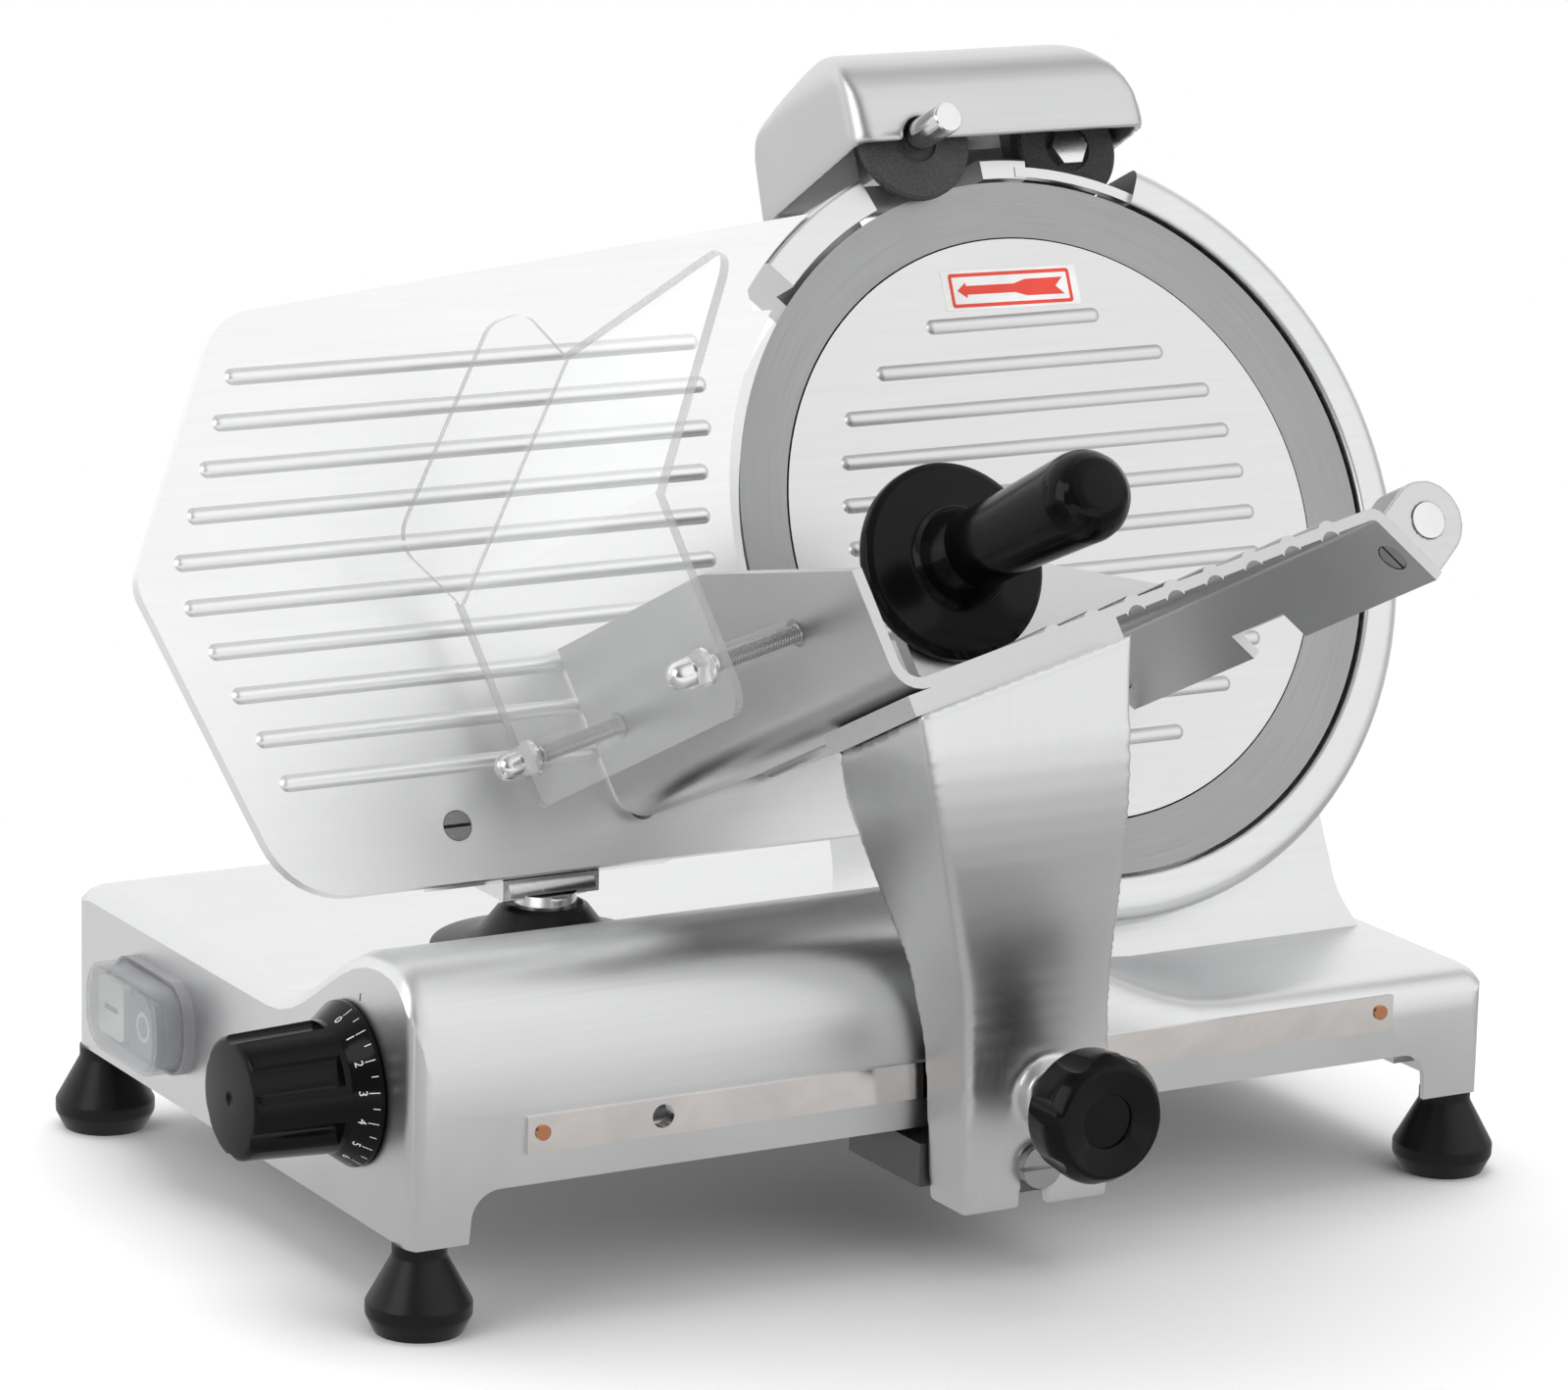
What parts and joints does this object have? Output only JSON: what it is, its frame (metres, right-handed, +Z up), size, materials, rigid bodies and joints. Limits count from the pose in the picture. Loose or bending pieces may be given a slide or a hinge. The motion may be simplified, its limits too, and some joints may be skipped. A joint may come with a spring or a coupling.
{
  "type": "electric food slicer",
  "caption": "Gravity-feed food slicer with a tilted round blade, ribbed thickness plate with dial, sliding food tray with pusher and clear guard, and a top sharpener.",
  "frame": {"origin": "middle of the overall box at the height of the table that the feet stand on", "axes": "+Z up, X along the carriage travel with the dial on -X, -Y towards the user and the tray"},
  "size_m": [0.492, 0.385, 0.3767],
  "materials": {
    "cast": "satin polished casting",
    "polished": "bright brushed aluminium",
    "steel": "satin steel",
    "bright": "mirror polished stainless",
    "copper": "copper rivet",
    "bronze": "bronze bush",
    "black": "gloss black",
    "rubber": "matt black",
    "clear": "clear polycarbonate",
    "grey": "dark grey",
    "white": "white",
    "mid_grey": "mid grey",
    "stone": "dark abrasive",
    "motor": "dark painted"
  },
  "bodies": {
    "base": {"base_housing": "cast", "bottom_plate": "steel", "cover_screws": "steel", "feet": "rubber", "foot_screws": "steel", "wear_strip": "bright", "strip_rivets": "copper", "cable_gland": "black", "switch_body": "grey", "switch_cover": "clear", "gauge_rod": "steel", "bearings": "steel", "drive_belt": "rubber", "motor": "motor", "capacitor": "white", "rear_cover": "cast", "blade_cover": "polished", "slide_rod": "steel", "guide_bar": "steel", "rod_supports": "cast"},
    "on_button": {"on_button": "white"},
    "off_button": {"off_button": "mid_grey"},
    "dial": {"dial_knob": "black", "dial_shaft": "steel"},
    "gauge": {"gauge_slide": "steel", "gauge_post": "steel", "gauge_seal": "rubber", "gauge_plate": "polished", "gauge_screws": "steel"},
    "blade": {"blade": "steel", "blade_hub": "steel", "blade_screws": "steel", "blade_pulley": "polished"},
    "motor_pulley": {"motor_pulley": "steel"},
    "tie": {"tie_rod": "steel", "tie_knob": "black"},
    "sharpener": {"sharpener_cap": "cast", "sharpener_body": "steel"},
    "sharpener_lock": {"sharpener_lock": "black"},
    "front_hone": {"front_stone": "stone", "front_pin": "steel"},
    "rear_hone": {"rear_stone": "stone", "rear_pin": "steel"},
    "carriage": {"carriage_arm": "cast", "slide_bushes": "bronze", "column": "cast", "pivot_screw": "steel", "tray": "polished", "rod_blocks": "cast", "block_screws": "steel", "pusher_rod": "bright", "clear_guard": "clear", "guard_spacers": "clear", "guard_bolts": "bright"},
    "roller": {"guide_roller": "black"},
    "lock_knob": {"lock_knob": "black"},
    "pusher_sleeve": {"pusher_sleeve": "bright"},
    "pusher": {"pusher_plate": "polished", "pusher_handle": "black"}
  },
  "joints": [
    {"name": "on_press", "type": "slide", "parent": "base", "child": "on_button", "axis": [1, 0, 0], "range_m": [0, 0.003], "stiffness_N_per_m": 300, "springref_m": -0.001},
    {"name": "off_press", "type": "slide", "parent": "base", "child": "off_button", "axis": [1, 0, 0], "range_m": [0, 0.003], "stiffness_N_per_m": 300, "springref_m": -0.001},
    {"name": "dial_turn", "type": "hinge", "parent": "base", "child": "dial", "pos_m": [-0.203, -0.0397, 0.0742], "axis": [-1, 0, 0], "range_deg": [0, 300]},
    {"name": "gauge_slide", "type": "slide", "parent": "base", "child": "gauge", "axis": [0, 1, 0], "range_m": [0, 0.013]},
    {"name": "blade_spin", "type": "hinge", "parent": "base", "child": "blade", "pos_m": [0.105, 0.0301, 0.219], "axis": [0, -0.9063, 0.4226], "continuous": true},
    {"name": "motor_spin", "type": "hinge", "parent": "base", "child": "motor_pulley", "pos_m": [0.125, 0.03859, 0.1047], "axis": [0, -0.9063, 0.4226], "continuous": true},
    {"name": "tie_turn", "type": "hinge", "parent": "base", "child": "tie", "pos_m": [0.105, 0.11167, 0.18096], "axis": [0, -0.9063, 0.4226], "continuous": true},
    {"name": "sharpener_lift", "type": "slide", "parent": "base", "child": "sharpener", "axis": [0, 0.4226, 0.9063], "range_m": [0, 0.025]},
    {"name": "sharpener_lock_turn", "type": "hinge", "parent": "base", "child": "sharpener_lock", "pos_m": [0.107, 0.12711, 0.27086], "axis": [0, -0.9063, 0.4226], "range_deg": [-360, 360]},
    {"name": "front_hone_press", "type": "slide", "parent": "sharpener", "child": "front_hone", "axis": [0, 0.9063, -0.4226], "range_m": [0, 0.002], "stiffness_N_per_m": 400, "springref_m": -0.002},
    {"name": "rear_hone_press", "type": "slide", "parent": "sharpener", "child": "rear_hone", "axis": [0, -0.9063, 0.4226], "range_m": [0, 0.0025], "stiffness_N_per_m": 400, "springref_m": -0.002},
    {"name": "carriage_slide", "type": "slide", "parent": "base", "child": "carriage", "axis": [1, 0, 0], "range_m": [-0.13, 0.125]},
    {"name": "roller_spin", "type": "hinge", "parent": "carriage", "child": "roller", "pos_m": [0.0122, -0.0005, 0.0374], "axis": [0, 1, 0], "range_deg": [-940, 940]},
    {"name": "lock_turn", "type": "hinge", "parent": "carriage", "child": "lock_knob", "pos_m": [0.0122, -0.1345, 0.0655], "axis": [0, 1, 0], "range_deg": [-360, 360]},
    {"name": "pusher_slide", "type": "slide", "parent": "carriage", "child": "pusher_sleeve", "axis": [0, -0.9063, 0.4226], "range_m": [-0.034, 0.068]},
    {"name": "pusher_swing", "type": "hinge", "parent": "pusher_sleeve", "child": "pusher", "pos_m": [0.12066, -0.04485, 0.20024], "axis": [0, 0.9063, -0.4226], "range_deg": [0, 110]}
  ],
  "couplings": [
    {"joint": "dial_turn", "follows": "gauge_slide", "rad_per_m": 402.77},
    {"joint": "motor_spin", "follows": "blade_spin", "ratio": 3.6},
    {"joint": "roller_spin", "follows": "carriage_slide", "rad_per_m": -125}
  ]
}
